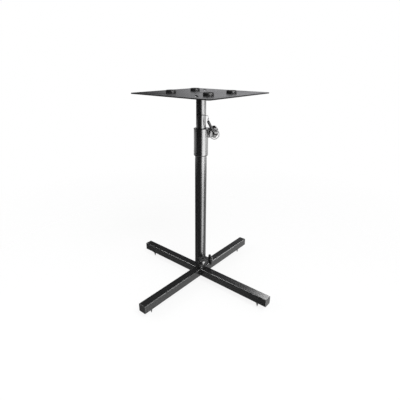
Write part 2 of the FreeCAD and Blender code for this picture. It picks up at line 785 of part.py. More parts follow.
shaft = doc.addObject("Part::Cylinder", "pin_shaft")
shaft.setExpression("Radius", formula("pin_radius"))
shaft.setExpression("Height", formula("pin_length"))
shaft.setExpression("Placement.Base.z", formula("-pin_length"))
ball = doc.addObject("Part::Sphere", "pin_ball")
ball.setExpression("Radius", formula("pin_radius"))
whole_pin = doc.addObject("Part::Fuse", "pin_whole")
whole_pin.Base = shaft
whole_pin.Tool = ball
eye = doc.addObject("Part::Cylinder", "pin_eye")
eye.setExpression("Radius", formula("ring_eye"))
eye.setExpression("Height", formula("4 * pin_radius"))
eye.Placement = FreeCAD.Placement(FreeCAD.Vector(-2 * size("pin_radius"), 0, -eye_depth),
                                  FreeCAD.Rotation(sideways, 90))
lock_pin = doc.addObject("Part::Cut", "lock_pin")
lock_pin.Base = whole_pin
lock_pin.Tool = eye
lock_pin.Placement = hanging
node(lock_pin)

# Pull ring through the eye, lifted by half the drop of its arc inside the pin
arc_drop = size("ring_radius") - math.sqrt(size("ring_radius") ** 2 - size("pin_radius") ** 2)
ring_centre = FreeCAD.Vector(0, 0, arc_drop / 2 - eye_depth - size("ring_radius"))
pin_ring = doc.addObject("Part::Torus", "pin_ring")
pin_ring.setExpression("Radius1", formula("ring_radius"))
pin_ring.setExpression("Radius2", formula("ring_wire"))
ring_facing = FreeCAD.Rotation(FreeCAD.Vector(1, 0, 0), 90)
pin_ring.Placement = hanging.multiply(FreeCAD.Placement(ring_centre, ring_facing))
node(pin_ring)

# Ferrule crimped on the tether's end, just above the pin's ball
ferrule = turned("tether_ferrule", [
    ("0", "0"), ("ferrule_radius", "0"), ("ferrule_radius", "ferrule_length"), ("0", "ferrule_length")])
ferrule.Placement.Base = pin_spot + upward * ferrule_bottom
node(ferrule)


# Tether: straight runs joined by arcs as large as the runs allow
def cord_path(points):
    edges = []
    begin = points[0]
    for before, corner, after in zip(points, points[1:], points[2:]):
        way_in = (corner - before).normalize()
        way_out = (after - corner).normalize()
        half_turn = way_in.getAngle(way_out) / 2
        reach = size("tether_arc_share") * min((corner - before).Length, (after - corner).Length)
        radius = reach / math.tan(half_turn)
        enter = corner - way_in * reach
        leave = corner + way_out * reach
        inward = (way_out - way_in).normalize()
        middle = corner + inward * (radius / math.cos(half_turn) - radius)
        edges.append(Part.LineSegment(begin, enter).toShape())
        edges.append(Part.Arc(enter, middle, leave).toShape())
        print(f"tether bend {radius:.1f} mm, turn {math.degrees(2 * half_turn):.0f} degrees")
        begin = leave
    edges.append(Part.LineSegment(begin, points[-1]).toShape())
    return Part.Wire(edges)


anchor_rotation = FreeCAD.Rotation(upward, anchor_turn)
exit_way = anchor_rotation.multVec(sideways)
exit_spot = FreeCAD.Vector((size("mast_radius") + size("anchor_reach")) / 2, size("anchor_width") / 2, 0)
tether_start = anchor_rotation.multVec(exit_spot) + upward * anchor_height
tether_end = pin_spot + upward * ferrule_top
# Bends between the anchor and the ferrule: along the clamp's axis, in front of it, above the anchor
tether_bends = [(2.4, 23.8, 1.1), (8.8, 25.7, 1.5), (14.2, 25.6, 0.2)]
tether_route = [tether_start, tether_start + exit_way * size("tether_exit")]
tether_route += [along * a + front * f + upward * (anchor_height + rise) for a, f, rise in tether_bends]
tether_route += [tether_end + upward * size("tether_entry"), tether_end]
tether_line = cord_path(tether_route)
section = Part.Wire(Part.Circle(tether_start, exit_way, size("tether_radius")).toShape())
tether = doc.addObject("Part::Feature", "tether")
tether.Shape = tether_line.makePipeShell([section], True, True)
node(tether)
tether_volume = math.pi * size("tether_radius") ** 2 * tether_line.Length
print(f"tether {tether_line.Length:.1f} mm long, volume {tether.Shape.Volume:.2f} of {tether_volume:.2f}")
for point in tether_route:
    print("tether point", [round(value, 2) for value in point])

# Every object has to be sound before anything is written
doc.recompute()
for item in doc.Objects:
    if "Invalid" in item.State or "Error" in item.State:
        raise RuntimeError(f"{item.Label} failed: {item.State}")
for piece in nodes:
    if piece.Shape.isNull() or not piece.Shape.isValid() or not piece.Shape.Solids:
        raise RuntimeError(f"{piece.Label} has no sound shape")

os.makedirs("parts", exist_ok=True)
for piece in nodes:
    piece.Shape.exportStep(f"parts/{piece.Label}.step")
print(f"{len(nodes)} pieces written")
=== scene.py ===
import json
import math
import bmesh
import bpy
from mathutils import Matrix, Quaternion, Vector


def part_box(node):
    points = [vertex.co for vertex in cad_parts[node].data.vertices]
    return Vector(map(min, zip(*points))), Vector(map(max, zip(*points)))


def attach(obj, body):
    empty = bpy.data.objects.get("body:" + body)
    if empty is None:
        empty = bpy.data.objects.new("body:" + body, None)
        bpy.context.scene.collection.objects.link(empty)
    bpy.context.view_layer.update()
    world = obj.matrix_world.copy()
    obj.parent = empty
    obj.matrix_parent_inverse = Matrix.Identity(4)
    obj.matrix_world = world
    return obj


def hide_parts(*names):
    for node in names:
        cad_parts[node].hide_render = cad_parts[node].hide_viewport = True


# Looks of a studio monitor stand: metres, +Z up, the front right leg along +X
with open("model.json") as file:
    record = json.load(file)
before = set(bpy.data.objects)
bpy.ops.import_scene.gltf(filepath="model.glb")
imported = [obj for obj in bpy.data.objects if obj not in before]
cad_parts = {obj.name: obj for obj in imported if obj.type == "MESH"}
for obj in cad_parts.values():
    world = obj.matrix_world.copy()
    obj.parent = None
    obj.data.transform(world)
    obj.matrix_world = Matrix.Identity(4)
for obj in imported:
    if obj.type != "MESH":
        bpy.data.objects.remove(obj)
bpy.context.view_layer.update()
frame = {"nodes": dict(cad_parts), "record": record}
cadNodes = frame["nodes"]
scene = bpy.context.scene
scene.view_settings.view_transform = "Standard"
print("stand loaded:", len(cadNodes), "nodes")


class Wire:
    # A node's output that takes part in Python arithmetic
    def __init__(self, graph, socket):
        self.graph = graph
        self.socket = socket

    def __add__(self, other):
        return self.graph.maths("ADD", self, other)

    def __radd__(self, other):
        return self.graph.maths("ADD", other, self)

    def __sub__(self, other):
        return self.graph.maths("SUBTRACT", self, other)

    def __rsub__(self, other):
        return self.graph.maths("SUBTRACT", other, self)

    def __mul__(self, other):
        return self.graph.maths("MULTIPLY", self, other)

    def __rmul__(self, other):
        return self.graph.maths("MULTIPLY", other, self)

    def __truediv__(self, other):
        return self.graph.maths("DIVIDE", self, other)

    def __rtruediv__(self, other):
        return self.graph.maths("DIVIDE", other, self)

    def __pow__(self, other):
        return self.graph.maths("POWER", self, other)

    def __gt__(self, other):
        return self.graph.maths("GREATER_THAN", self, other)

    def __lt__(self, other):
        return self.graph.maths("LESS_THAN", self, other)

    def clamped(self):
        # Held between 0 and 1
        return self.graph.maths("MINIMUM", self.graph.maths("MAXIMUM", self, 0.0), 1.0)


class Graph:
    # A node tree whose nodes all come from one method
    def __init__(self, tree):
        self.tree = tree

    def node(self, kind, settings=None, sockets=None, output=0):
        made = self.tree.nodes.new(kind)
        for key, value in (settings or {}).items():
            setattr(made, key, value)
        for key, value in (sockets or {}).items():
            if isinstance(value, Wire):
                self.tree.links.new(value.socket, made.inputs[key])
            else:
                made.inputs[key].default_value = value
        return Wire(self, made.outputs[output]) if made.outputs else made

    def feed(self, shader, links):
        for key, wire in links.items():
            self.tree.links.new(wire.socket, shader.inputs[key])

    def maths(self, operation, *values):
        return self.node("ShaderNodeMath", {"operation": operation}, dict(enumerate(values)))

    def split(self, vector):
        parts = self.node("ShaderNodeSeparateXYZ", {}, {0: vector}).socket.node.outputs
        return [Wire(self, part) for part in parts]

    def noise(self, place, scale, detail=2.0):
        return self.node("ShaderNodeTexNoise", {}, {"Vector": place, "Scale": scale, "Detail": detail})

    def mixColour(self, share, first, second):
        return self.node("ShaderNodeMix", {"data_type": "RGBA"}, {0: share, 6: first, 7: second}, 2)

    def bump(self, height, strength, distance):
        return self.node("ShaderNodeBump", {}, {"Height": height, "Strength": strength, "Distance": distance})

    def ray(self, kind):
        return self.node("ShaderNodeLightPath", output=kind)


def newFinish(name, fixed):
    material = bpy.data.materials.new(name)
    material.use_nodes = True
    graph = Graph(material.node_tree)
    shader = material.node_tree.nodes["Principled BSDF"]
    for key, value in fixed.items():
        shader.inputs[key].default_value = value
    place = graph.node("ShaderNodeTexCoord", output="Object")
    return material, graph, shader, place


def grey(value, blue=1.03):
    return (value, value, value * blue, 1.0)


# Satin black powder coat: orange peel, fine powder grain, patches that are rubbed smoother
coatLook = {"deep": 0.010, "dusty": 0.016, "smooth": 0.17, "spread": 0.06, "patch": 14.0, "patchShare": 0.7,
            "peel": 420.0, "peelShare": 0.75, "grain": 1900.0, "grainRough": 0.03, "bump": 0.2,
            "relief": 0.00003}


def powderCoat(name, duller=0.0, shine=0.5):
    look = coatLook
    material, graph, shader, place = newFinish(name, {"Specular IOR Level": shine})
    patches = graph.noise(place, look["patch"], 4.0)
    peel = graph.noise(place, look["peel"])
    grain = graph.noise(place, look["grain"])
    dust = patches * look["patchShare"] + grain * (1 - look["patchShare"])
    shade = graph.mixColour(dust, grey(look["deep"]), grey(look["dusty"]))
    rough = look["smooth"] + duller + patches * look["spread"] + grain * look["grainRough"]
    height = peel * look["peelShare"] + grain * (1 - look["peelShare"])
    relief = graph.bump(height, look["bump"], look["relief"])
    graph.feed(shader, {"Base Color": shade, "Roughness": rough, "Normal": relief})
    return material


# Moulded plastic: spark-eroded grain from the mould, a little sheen where hands rub
mouldLook = {"rub": 45.0, "rubShare": 0.6, "grainRough": 0.05, "bump": 0.25}
plasticLooks = {
    "blackPlastic": {"deep": 0.009, "pale": 0.018, "smooth": 0.26, "spread": 0.10, "grain": 900.0,
                     "relief": 0.00008},
    "collarPlastic": {"deep": 0.009, "pale": 0.016, "smooth": 0.12, "spread": 0.05, "grain": 1100.0,
                      "relief": 0.00003},
    "knobPlastic": {"deep": 0.008, "pale": 0.015, "smooth": 0.13, "spread": 0.05, "grain": 900.0,
                    "relief": 0.00003, "shine": 0.45},
    # The lobes' plastic below is a darker, duller copy of the knob plastic: painted shade on the foot knobs'
    # lobes
    "knobGripPaintedShade": {"deep": 0.006, "pale": 0.012, "smooth": 0.38, "spread": 0.10, "grain": 900.0,
                 "relief": 0.00006, "shine": 0.10},
    "clampKnobPlastic": {"deep": 0.008, "pale": 0.015, "smooth": 0.30, "spread": 0.08, "grain": 900.0,
                         "relief": 0.00004, "shine": 0.6},
    "anchorPlastic": {"deep": 0.005, "pale": 0.010, "smooth": 0.5, "spread": 0.12, "grain": 1200.0,
                      "relief": 0.00006, "shine": 0.06},
    "greyNylon": {"deep": 0.07, "pale": 0.13, "smooth": 0.42, "spread": 0.12, "grain": 700.0,
                  "relief": 0.00008},
}


def mouldedPlastic(name):
    look = mouldLook | plasticLooks[name]
    material, graph, shader, place = newFinish(name, {"Specular IOR Level": look.get("shine", 0.5)})
    grain = graph.node("ShaderNodeTexVoronoi", {"feature": "SMOOTH_F1"},
                       {"Vector": place, "Scale": look["grain"]})
    rubbed = graph.noise(place, look["rub"], 3.0)
    sheen = rubbed * look["rubShare"] + grain * (1 - look["rubShare"])
    shade = graph.mixColour(sheen, grey(look["deep"]), grey(look["pale"]))
    rough = look["smooth"] + rubbed * look["spread"] + grain * look["grainRough"]
    relief = graph.bump(grain, look["bump"], look["relief"])
    graph.feed(shader, {"Base Color": shade, "Roughness": rough, "Normal": relief})
    return material


# Steel with drawn lines: mottled zinc plate, bright wire, black oxide and the dark spikes
drawnLook = {"lines": 900.0, "wander": 3.0, "lineShare": 0.6, "bump": 0.12, "relief": 0.00005, "dulled": 0.05}
steelLooks = {
    "zincSteel": {"deep": 0.16, "pale": 0.30, "smooth": 0.24, "spread": 0.22, "mottle": 420.0, "metal": 1.0},
    "brightWire": {"deep": 0.05, "pale": 0.13, "smooth": 0.20, "spread": 0.12, "mottle": 700.0, "metal": 1.0},
    "blackOxide": {"deep": 0.012, "pale": 0.030, "smooth": 0.44, "spread": 0.14, "mottle": 520.0,
                   "metal": 0.1, "shine": 0.22},
    "spikeSteel": {"deep": 0.03, "pale": 0.09, "smooth": 0.26, "spread": 0.16, "mottle": 480.0, "metal": 0.9},
}


def steel(name):
    look = drawnLook | steelLooks[name]
    material, graph, shader, place = newFinish(name, {"Specular IOR Level": look.get("shine", 0.5)})
    mottle = graph.noise(place, look["mottle"], 3.0)
    drawn = graph.node("ShaderNodeTexWave", {"bands_direction": "Z"},
                       {"Vector": place, "Scale": look["lines"], "Distortion": look["wander"], "Detail": 2.0})
    shade = graph.mixColour(mottle, grey(look["deep"]), grey(look["pale"]))
    rough = look["smooth"] + mottle * look["spread"]
    height = drawn * look["lineShare"] + mottle * (1 - look["lineShare"])
    relief = graph.bump(height, look["bump"], look["relief"])
    metal = look["metal"] - mottle * look["dulled"]
    graph.feed(shader, {"Base Color": shade, "Roughness": rough, "Metallic": metal, "Normal": relief})
    return material


# Rubber of the pads: smooth moulded skin with a grey bloom
rubberLook = {"deep": 0.006, "bloom": 0.014, "smooth": 0.28, "spread": 0.12, "patch": 80.0, "speck": 1300.0,
              "bump": 0.2, "relief": 0.00004}


def padRubber():
    look = rubberLook
    material, graph, shader, place = newFinish("padRubber", {})
    bloom = graph.noise(place, look["patch"], 4.0)
    speck = graph.noise(place, look["speck"])
    shade = graph.mixColour(bloom, grey(look["deep"]), grey(look["bloom"]))
    rough = look["smooth"] + bloom * look["spread"]
    relief = graph.bump(speck, look["bump"], look["relief"])
    graph.feed(shader, {"Base Color": shade, "Roughness": rough, "Normal": relief})
    return material


finishes = {
    "powder_coat": powderCoat("powderCoat"),
    "black_plastic": mouldedPlastic("blackPlastic"),
    "nylon": mouldedPlastic("greyNylon"),
    "zinc_steel": steel("zincSteel"),
    "bright_steel": steel("brightWire"),
    "black_steel": steel("blackOxide"),
    "pad_rubber": padRubber(),
}
slotOf = {part["node"]: part["material_slot"] for part in frame["record"]["subparts"]}
bodyOf = {name: body for body, names in frame["record"]["behaviour"]["bodies"].items() for name in names}
for name, item in cadNodes.items():
    item.data.materials.clear()
    item.data.materials.append(finishes[slotOf[name]])
print("finishes:", len(finishes))


def smoothShaded(mesh, degrees=32):
    mesh.shade_smooth()
    mesh.set_sharp_from_angle(angle=math.radians(degrees))
    return mesh


def addPiece(name, mesh, standsFor, finish=None):
    # A finished mesh that rides on the body of the CAD node that it stands for or sits on
    mesh.name = name
    mesh.materials.clear()
    mesh.materials.append(finish or finishes[slotOf[standsFor]])
    piece = bpy.data.objects.new(name, mesh)
    scene.collection.objects.link(piece)
    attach(piece, bodyOf[standsFor])
    return piece


def takeOver(name, mesh, *standsFor, finish=None):
    piece = addPiece(name, mesh, standsFor[0], finish)
    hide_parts(*standsFor)
    return piece


def evaluated(name, mesh, addModifiers):
    # Runs modifiers on a mesh and gives the plain result
    holder = bpy.data.objects.new(name, mesh)
    scene.collection.objects.link(holder)
    addModifiers(holder)
    depsgraph = bpy.context.evaluated_depsgraph_get()
    result = bpy.data.meshes.new_from_object(holder.evaluated_get(depsgraph), depsgraph=depsgraph)
    bpy.data.objects.remove(holder)
    return result


def toMesh(name, build):
    mesh = bpy.data.meshes.new(name)
    build.to_mesh(mesh)
    build.free()
    return mesh


def tubeMesh(name, build, rings, degrees):
    # Joins rings of points into a tube and closes its ends with fans
    sides = len(rings[0])
    for lower, upper in zip(rings, rings[1:]):
        for k in range(sides):
            build.faces.new((lower[k], lower[(k + 1) % sides], upper[(k + 1) % sides], upper[k]))
    for end in (rings[0], rings[-1]):
        middle = build.verts.new(sum((corner.co for corner in end), Vector()) / sides)
        for k in range(sides):
            build.faces.new((middle, end[k], end[(k + 1) % sides]))
    bmesh.ops.recalc_face_normals(build, faces=build.faces)
    return smoothShaded(toMesh(name, build), degrees)


def filleted(corners, steps=5):
    # Corners are (radius, height, fillet); gives the outline with each corner rounded
    outline = []
    count = len(corners)
    for i, (radius, height, fillet) in enumerate(corners):
        corner = Vector((radius, height))
        if fillet <= 0 or i in (0, count - 1):
            outline.append(corner)
            continue
        wayIn = (Vector(corners[i - 1][:2]) - corner).normalized()
        wayOut = (Vector(corners[i + 1][:2]) - corner).normalized()
        halfAngle = wayIn.angle(wayOut) / 2
        reach = fillet / math.tan(halfAngle)
        centre = corner + (wayIn + wayOut).normalized() * (fillet / math.sin(halfAngle))
        first = corner + wayIn * reach - centre
        sweep = first.angle_signed(corner + wayOut * reach - centre)
        for step in range(steps + 1):
            outline.append(centre + Matrix.Rotation(-sweep * step / steps, 2) @ first)
    return outline


def lathe(name, outline, sides=64, closed=False):
    # Turns an outline of (radius, height) about +Z
    build = bmesh.new()
    angles = [2 * math.pi * k / sides for k in range(sides)]
    rings = []
    for radius, height in outline:
        if radius < 1e-7:
            rings.append([build.verts.new((0, 0, height))] * sides)
        else:
            rings.append([build.verts.new((radius * math.cos(angle), radius * math.sin(angle), height))
                          for angle in angles])
    pairs = list(zip(rings, rings[1:])) + ([(rings[-1], rings[0])] if closed else [])
    for lower, upper in pairs:
        for k in range(sides):
            corners = [lower[k], lower[(k + 1) % sides], upper[(k + 1) % sides], upper[k]]
            unique = list(dict.fromkeys(corners))
            if len(unique) > 2:
                build.faces.new(unique)
    bmesh.ops.recalc_face_normals(build, faces=build.faces)
    return smoothShaded(toMesh(name, build))


def outward(turn, height):
    # Places a piece made about +Z so that it points away from the column
    return (Matrix.Translation((0, 0, height)) @ Matrix.Rotation(math.radians(turn), 4, "Z")
            @ Matrix.Rotation(math.radians(90), 4, "Y"))


def softened(nodeName, width, segments=3, degrees=30):
    # A copy of a CAD node with its sharp edges rounded
    build = bmesh.new()
    build.from_mesh(cadNodes[nodeName].data)
    bmesh.ops.remove_doubles(build, verts=build.verts, dist=2e-6)
    bmesh.ops.dissolve_limit(build, angle_limit=math.radians(0.3), verts=build.verts, edges=build.edges)
    mesh = toMesh(nodeName, build)
    mesh.shade_smooth()

    def bevel(holder):
        edge = holder.modifiers.new("roundEdge", "BEVEL")
        edge.width = width
        edge.segments = segments
        edge.limit_method = "ANGLE"
        edge.angle_limit = math.radians(degrees)
        faces = holder.modifiers.new("faceNormals", "WEIGHTED_NORMAL")
        faces.weight = 100
        faces.keep_sharp = True
    return evaluated(nodeName, mesh, bevel)


def newTree(name, inputs):
    tree = bpy.data.node_groups.new(name, "GeometryNodeTree")
    tree.interface.new_socket("Geometry", in_out="INPUT", socket_type="NodeSocketGeometry")
    for label, kind in inputs:
        tree.interface.new_socket(label, in_out="INPUT", socket_type="NodeSocket" + kind)
    tree.interface.new_socket("Geometry", in_out="OUTPUT", socket_type="NodeSocketGeometry")
    graph = Graph(tree)
    entry = tree.nodes.new("NodeGroupInput")
    return graph, {socket.name: Wire(graph, socket) for socket in entry.outputs if socket.name}


def closeTree(graph, shape, material):
    realized = graph.node("GeometryNodeRealizeInstances", {}, {"Geometry": shape})
    painted = graph.node("GeometryNodeSetMaterial", {}, {"Geometry": realized, "Material": material})
    graph.node("NodeGroupOutput", {}, {"Geometry": painted})
    return graph.tree


def grown(name, mesh, tree, values):
    # The plain mesh that a node tree makes of a mesh, with the tree's inputs given by name
    def nodesModifier(holder):
        modifier = holder.modifiers.new(name, "NODES")
        modifier.node_group = tree
        for item in tree.interface.items_tree:
            if item.in_out == "INPUT" and item.name in values:
                modifier[item.identifier] = values[item.name]
    return evaluated(name, mesh, nodesModifier)


# Camera at the photograph's view
cameraLook = {"place": (0.6503, -0.7827, 0.7237), "target": (-0.0017, -0.0014, 0.3069), "lens": 29.94,
              "sensor": 36.0, "tilt": 0.25, "near": 0.01}
camera = bpy.data.objects.new("camera", bpy.data.cameras.new("camera"))
scene.collection.objects.link(camera)
camera.location = cameraLook["place"]
aim = (Vector(cameraLook["target"]) - Vector(cameraLook["place"])).to_track_quat("-Z", "Y")
camera.rotation_euler = (aim @ Quaternion((0, 0, 1), math.radians(cameraLook["tilt"]))).to_euler()
camera.data.lens = cameraLook["lens"]
camera.data.sensor_width = cameraLook["sensor"]
camera.data.clip_start = cameraLook["near"]
scene.camera = camera
print("camera set")

# Wire tether from the mast to the lock pin: a laid wire on one smooth line
tetherLook = {
    "route": [(0.00653, -0.01687, 0.5830), (0.01441, -0.01548, 0.5830), (0.01977, -0.01346, 0.5841),
              (0.02534, -0.00978, 0.5845), (0.02874, -0.00558, 0.5832), (0.03034, -0.00274, 0.5798),
              (0.03034, -0.00274, 0.5753)],
    "diameter": 0.0014, "strands": 6, "lay": 0.0085, "groove": 0.00016, "sides": 36, "steps": 28,
    "length": 0.0345}


def splinePoints(route, steps):
    curve = bpy.data.curves.new("route", "CURVE")
    curve.dimensions = "3D"
    spline = curve.splines.new("NURBS")
    spline.points.add(len(route) - 1)
    for point, place in zip(spline.points, route):
        point.co = (*place, 1.0)
    spline.order_u = 3
    spline.use_endpoint_u = True
    spline.resolution_u = steps
    holder = bpy.data.objects.new("route", curve)
    line = bpy.data.meshes.new_from_object(holder)
    points = [vertex.co.copy() for vertex in line.vertices]
    bpy.data.objects.remove(holder)
    return points


def laidWire(points, look):
    build = bmesh.new()
    sides = look["sides"]
    across = (points[1] - points[0]).orthogonal().normalized()
    run = 0.0
    rings = []
    for i, point in enumerate(points):
        ahead = points[min(i + 1, len(points) - 1)] - points[max(i - 1, 0)]
        along = ahead.normalized()
        across = (across - along * across.dot(along)).normalized()
        side = along.cross(across)
        run += (point - points[i - 1]).length if i else 0.0
        ring = []
        for k in range(sides):
            angle = 2 * math.pi * k / sides
            wave = math.cos(look["strands"] * (angle - 2 * math.pi * run / look["lay"]))
            radius = look["diameter"] / 2 - look["groove"] * (0.5 - 0.5 * wave) ** 2
            ring.append(build.verts.new(point + (across * math.cos(angle) + side * math.sin(angle)) * radius))
        rings.append(ring)
    return tubeMesh("tetherWire", build, rings, 50)


tetherPath = splinePoints(tetherLook["route"], tetherLook["steps"])
tether = takeOver("tetherWire", laidWire(tetherPath, tetherLook), "tether")
tetherLength = sum((b - a).length for a, b in zip(tetherPath, tetherPath[1:]))
print("tether line", round(tetherLength * 1000, 1), "mm")

# Six-lobed hand knobs: a turned blank with a domed crown, whose rim a node tree scallops
knobLook = {"radius": 0.0185, "neck": 0.011, "neckLength": 0.002, "lobes": 6, "scallop": 0.007,
            "depth": 0.0035, "blur": 0.0016, "bore": 0.0041, "boreEnd": 0.012, "sides": 192,
            "neckFillets": (0.0006, 0.0010), "rimFillets": (0.0022, 0.0018), "shoulderFillet": 0.0012,
            "crownStep": (0.0004, 0.0006), "domeStart": 12, "domeSteps": 12, "gripEdge": 0.0002}
knobKinds = {
    "foot": {"thick": 0.016, "rim": 0.0066, "shoulder": 0.0092, "crown": 0.0114, "start": 0.0298},
    "clamp": {"thick": 0.020, "rim": 0.0098, "shoulder": 0.0124, "crown": 0.0142, "start": 0.0338},
}
knobPlaces = {"clamp_knob": (50, 0.531, "clamp"), "foot_right_knob": (50, 0.074, "foot"),
              "foot_front_knob": (-40, 0.088, "foot")}  # turn about the column, height, kind


def lobeTree():
    graph, given = newTree("knobLobes", [("Knob Radius", "Float"), ("Lobes", "Float"), ("Scallop", "Float"),
                                         ("Depth", "Float"), ("Blur", "Float"), ("Finish", "Material")])
    x, y, z = graph.split(graph.node("GeometryNodeInputPosition"))
    reach = (x * x + y * y) ** 0.5
    step = 2 * math.pi / given["Lobes"]
    angle = graph.maths("ARCTAN2", y, x)
    local = graph.maths("FLOORED_MODULO", angle + step * 0.5, step) - step * 0.5
    centre = given["Knob Radius"] - given["Depth"] + given["Scallop"]
    sine = centre * graph.maths("SINE", local)
    room = given["Scallop"] ** 2 - sine ** 2
    wall = centre * graph.maths("COSINE", local) - graph.maths("MAXIMUM", room, 0.0) ** 0.5
    cut = graph.maths("SMOOTH_MIN", reach, wall, given["Blur"])
    scale = cut / graph.maths("MAXIMUM", reach, 1e-6)
    place = graph.node("ShaderNodeCombineXYZ", {}, {0: x * scale, 1: y * scale, 2: z})
    shaped = graph.node("GeometryNodeSetPosition", {}, {"Geometry": given["Geometry"], "Position": place})
    return closeTree(graph, shaped, given["Finish"])


def knobBlank(name, look):
    rimStart, shoulder, crown = look["neckLength"], look["shoulder"], look["crown"]
    neckFoot, neckTop = look["neckFillets"]
    rimFoot, rimTop = look["rimFillets"]
    stepIn, stepUp = look["crownStep"]
    outline = filleted([
        (look["bore"], 0.0, 0), (look["neck"], 0.0, neckFoot), (look["neck"], rimStart, neckTop),
        (look["radius"], rimStart, rimFoot), (look["radius"], rimStart + look["rim"], rimTop),
        (crown, shoulder, look["shoulderFillet"]), (crown - stepIn, shoulder + stepUp, 0)], 6)
    start, steps = look["domeStart"], look["domeSteps"]
    tilts = [math.radians(start + (90 - start) * i / steps) for i in range(steps + 1)]
    rise = look["thick"] - shoulder
    dome = [Vector((crown * math.cos(tilt), shoulder + rise * math.sin(tilt))) for tilt in tilts]
    dome[-1].x = 0.0
    socket = [Vector((0.0, look["boreEnd"])), Vector((look["bore"], look["boreEnd"]))]
    return lathe(name, outline + dome + socket, look["sides"], closed=True)


knobFinish = mouldedPlastic("knobPlastic")
gripShadeFinish = mouldedPlastic("knobGripPaintedShade")
clampFinish = mouldedPlastic("clampKnobPlastic")
knobTree = lobeTree()
for name, (turn, height, kind) in knobPlaces.items():
    look = knobLook | knobKinds[kind]
    values = {"Knob Radius": look["radius"], "Lobes": float(look["lobes"]), "Scallop": look["scallop"],
              "Depth": look["depth"], "Blur": look["blur"], "Finish": knobFinish}
    mesh = grown(name, knobBlank(name, look), knobTree, values)
    # Faces below the crown are marked for the darker lobe plastic, which is painted shade
    gripEnd = look["shoulder"] + look["gripEdge"]
    shadedLobeIndex = [0 if face.center.z > gripEnd else 1 for face in mesh.polygons]
    mesh.transform(outward(turn, height) @ Matrix.Translation((0, 0, look["start"])))
    finish = clampFinish if kind == "clamp" else knobFinish
    takeOver(name + "Grip", smoothShaded(mesh, 40), name, finish=finish)
    # The foot knobs' lobes take a darker copy of the knob plastic as painted shade
    if kind == "foot":  # dull lobes under a glossy crown
        mesh.materials.append(gripShadeFinish)
        mesh.polygons.foreach_set("material_index", shadedLobeIndex)
print("hand knobs:", len(knobPlaces))

# Rounded copies of pieces whose edges catch the light: width and steps of the rounding
roundings = {"top_plate": (0.00025, 2), "clamp_collar": (0.0007, 3), "plate_flange": (0.0006, 2),
             "foot_boss_right": (0.0008, 3), "foot_boss_front": (0.0008, 3), "tether_anchor": (0.0007, 3),
             "spike_lock_nuts": (0.0004, 2)}
dullCoat = powderCoat("dullCoat", duller=0.38, shine=0.14)
ownFinishes = {"clamp_collar": mouldedPlastic("collarPlastic"),
               "tether_anchor": mouldedPlastic("anchorPlastic"),
               "foot_boss_right": dullCoat, "foot_boss_front": dullCoat, "plate_flange": dullCoat}
for name, (width, steps) in roundings.items():
    takeOver(name + "Rounded", softened(name, width, steps), name, finish=ownFinishes.get(name))
topFacing = 0.6  # faces of the plate that look less upward than this are dull
plate = bpy.data.objects["top_plateRounded"].data
plate.materials.append(dullCoat)
for face in plate.polygons:
    face.material_index = 1 if face.normal.z < topFacing else 0
print("rounded pieces:", len(roundings))

# Spikes: a turned cone under a screw thread
spikeLook = {"reach": 0.239, "radius": 0.004, "tip": 0.0008, "cone": 0.014, "coneRows": 12, "top": 0.043,
             "pitch": 0.00125, "depth": 0.00062, "fade": 0.0012, "chamfer": 0.0005, "sides": 32, "steps": 10}


def threadedSpike(name, x, y):
    look = spikeLook
    cone, top, sides = look["cone"], look["top"], look["sides"]
    rowStep = look["pitch"] / look["steps"]
    rows = [cone * (i / look["coneRows"]) for i in range(look["coneRows"])]
    rows += [cone + rowStep * i for i in range(int((top - cone) / rowStep))]
    rows.append(top)
    build = bmesh.new()
    rings = []
    for height in rows:
        base = min(look["radius"], look["tip"] + (look["radius"] - look["tip"]) * height / cone)
        ends = min(height - cone, top - height) / look["fade"]
        cut = look["depth"] * max(0.0, min(1.0, ends))
        rounding = look["chamfer"] * max(0.0, 1 - (top - height) / look["chamfer"])
        ring = []
        for k in range(sides):
            phase = height / look["pitch"] - k / sides
            radius = base - cut * (0.5 - 0.5 * math.cos(2 * math.pi * phase)) - rounding
            angle = 2 * math.pi * k / sides
            ring.append(build.verts.new((x + radius * math.cos(angle), y + radius * math.sin(angle), height)))
        rings.append(ring)
    return tubeMesh(name, build, rings, 40)


reach = spikeLook["reach"]
spikeFinish = steel("spikeSteel")
spikePlaces = {"spike_front_right": (reach, 0), "spike_back_right": (0, reach),
               "spike_back_left": (-reach, 0), "spike_front_left": (0, -reach)}
for name, (x, y) in spikePlaces.items():
    takeOver(name + "Turned", threadedSpike(name, x, y), name, finish=spikeFinish)
print("spikes:", len(spikePlaces))

# Socket screws: one turned screw with a hexagon socket, placed by a node tree with a turn of its own each
screwLooks = {
    "plate_screw": {"spots": [(0, 0)], "head": 0.00555, "shank": 0.00295, "length": 0.017, "flats": 0.004,
                    "depth": 0.0022},
    "flange_screws": {"spots": [(0.028, 0), (0, 0.028), (-0.028, 0), (0, -0.028)], "head": 0.00495,
                      "shank": 0.00245, "length": 0.007, "flats": 0.003, "depth": 0.0018},
    "pad_screws": {"spots": [(0.07, 0.054), (-0.07, 0.054), (-0.07, -0.054), (0.07, -0.054)], "head": 0.004,
                   "shank": 0.00195, "length": 0.003, "flats": 0.0025, "depth": 0.0013, "seat": 0.004,
                   "rise": 0.0022},
}
screwEdges = {"socketRim": 1.35, "socketChamfer": 0.0002, "headFlat": 0.0003, "headEdge": 0.0002,
              "shankChamfer": 0.0004}


def screwOutline(look):
    # From the socket's rim over the head to the shank's end; a head with a seat is domed, others are flush
    head, shank, bottom = look["head"], look["shank"], -look["length"]
    rim = look["flats"] / 2 * screwEdges["socketRim"]
    if "seat" in look:
        seat, top = look["seat"], look["seat"] + look["rise"]
        outline = [(rim, top), (head * 0.72, top - 0.0003), (head * 0.93, top - 0.0010),
                   (head, seat + 0.0004), (head, seat)]
    else:
        seat = shank - head
        outline = [(rim, 0.0), (head - screwEdges["headFlat"], 0.0), (head, -screwEdges["headEdge"])]
    chamfer = screwEdges["shankChamfer"]
    return outline + [(shank, seat), (shank, bottom + chamfer), (shank - chamfer, bottom)]


